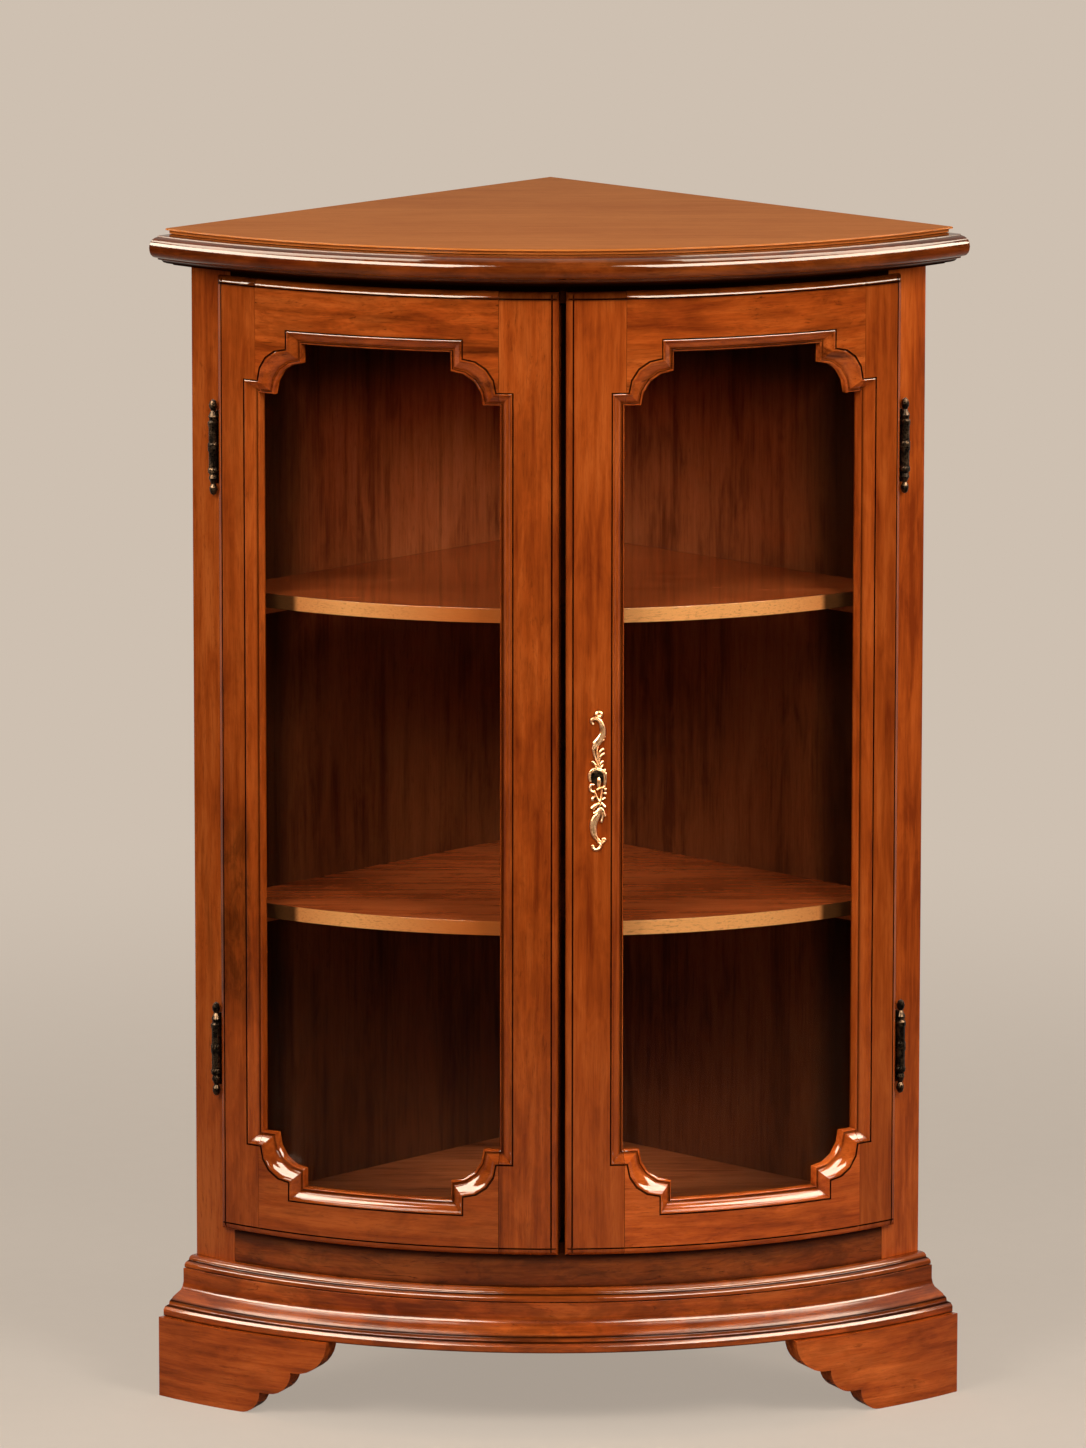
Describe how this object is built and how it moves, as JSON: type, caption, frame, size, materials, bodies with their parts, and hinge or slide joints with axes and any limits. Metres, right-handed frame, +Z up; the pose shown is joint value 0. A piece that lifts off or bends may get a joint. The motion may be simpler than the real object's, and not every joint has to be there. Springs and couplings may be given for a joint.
{
  "type": "corner curio cabinet",
  "caption": "Bow-fronted corner display cabinet with two glazed doors, shelves, moulded cornice and base, and bracket feet.",
  "frame": {"origin": "on the floor under the centre of the bounding box", "axes": "+Z up, -Y out of the middle of the bowed front, +X to the right as seen from the front; the room corner is at the +Y side"},
  "size_m": [0.7538, 0.533, 1.1],
  "materials": {
    "carcass_wood": "clear glossy lacquer over red-brown cherry",
    "door_wood": "clear glossy lacquer over red-brown cherry",
    "inside_wood": "thin dark stain, satin",
    "shelf_wood": "clear satin lacquer over lighter wood",
    "glass": "clear bent float glass",
    "dark_bronze": "dark bronze patina, half polished",
    "gilt_brass": "rose-gold gilding with worn high spots",
    "brass": "plain lacquered brass",
    "steel": "bright drawn steel"
  },
  "bodies": {
    "carcass": {"top_board": "carcass_wood", "cornice_moulding": "carcass_wood", "top_rail": "carcass_wood", "left_post": "carcass_wood", "right_post": "carcass_wood", "left_wall_panel": "inside_wood", "right_wall_panel": "inside_wood", "rear_corner_batten": "inside_wood", "bottom_rail": "carcass_wood", "floor_board": "inside_wood", "base_board": "inside_wood", "base_bead_moulding": "carcass_wood", "base_cove_moulding": "carcass_wood", "left_bracket_foot": "carcass_wood", "right_bracket_foot": "carcass_wood", "left_foot_block": "inside_wood", "right_foot_block": "inside_wood", "rear_foot": "inside_wood", "upper_shelf": "shelf_wood", "lower_shelf": "shelf_wood", "upper_left_shelf_cleat": "inside_wood", "upper_right_shelf_cleat": "inside_wood", "lower_left_shelf_cleat": "inside_wood", "lower_right_shelf_cleat": "inside_wood", "left_upper_hinge_post_leaf": "dark_bronze", "left_lower_hinge_post_leaf": "dark_bronze", "right_upper_hinge_post_leaf": "dark_bronze", "right_lower_hinge_post_leaf": "dark_bronze", "left_upper_hinge_pin": "steel", "left_lower_hinge_pin": "steel", "right_upper_hinge_pin": "steel", "right_lower_hinge_pin": "steel"},
    "left_door": {"left_door_hinge_stile": "door_wood", "left_door_meeting_stile": "door_wood", "left_door_top_rail": "door_wood", "left_door_bottom_rail": "door_wood", "left_door_glass": "glass", "left_door_meeting_bead": "door_wood", "left_door_hinge_bead": "door_wood", "left_upper_hinge_door_leaf": "dark_bronze", "left_lower_hinge_door_leaf": "dark_bronze", "lock_keeper": "brass", "upper_bolt_guide": "brass", "lower_bolt_guide": "brass"},
    "right_door": {"right_door_hinge_stile": "door_wood", "right_door_meeting_stile": "door_wood", "right_door_top_rail": "door_wood", "right_door_bottom_rail": "door_wood", "right_door_glass": "glass", "right_door_meeting_bead": "door_wood", "right_door_hinge_bead": "door_wood", "right_upper_hinge_door_leaf": "dark_bronze", "right_lower_hinge_door_leaf": "dark_bronze", "escutcheon": "gilt_brass", "lock_case": "brass"},
    "lock_bolt": {"lock_bolt": "steel"},
    "upper_bolt": {"upper_bolt": "steel"},
    "lower_bolt": {"lower_bolt": "steel"}
  },
  "joints": [
    {"name": "left_door_hinge", "type": "hinge", "parent": "carcass", "child": "left_door", "pos_m": [-0.31893, -0.09889, 0.61], "axis": [0, 0, -1], "range_deg": [0, 105]},
    {"name": "right_door_hinge", "type": "hinge", "parent": "carcass", "child": "right_door", "pos_m": [0.31893, -0.09889, 0.61], "axis": [0, 0, 1], "range_deg": [0, 105]},
    {"name": "lock_bolt_slide", "type": "slide", "parent": "right_door", "child": "lock_bolt", "axis": [-0.9978, -0.0667, 0], "range_m": [0, 0.014]},
    {"name": "upper_bolt_slide", "type": "slide", "parent": "left_door", "child": "upper_bolt", "axis": [0, 0, 1], "range_m": [0, 0.01]},
    {"name": "lower_bolt_slide", "type": "slide", "parent": "left_door", "child": "lower_bolt", "axis": [0, 0, -1], "range_m": [0, 0.01]}
  ]
}
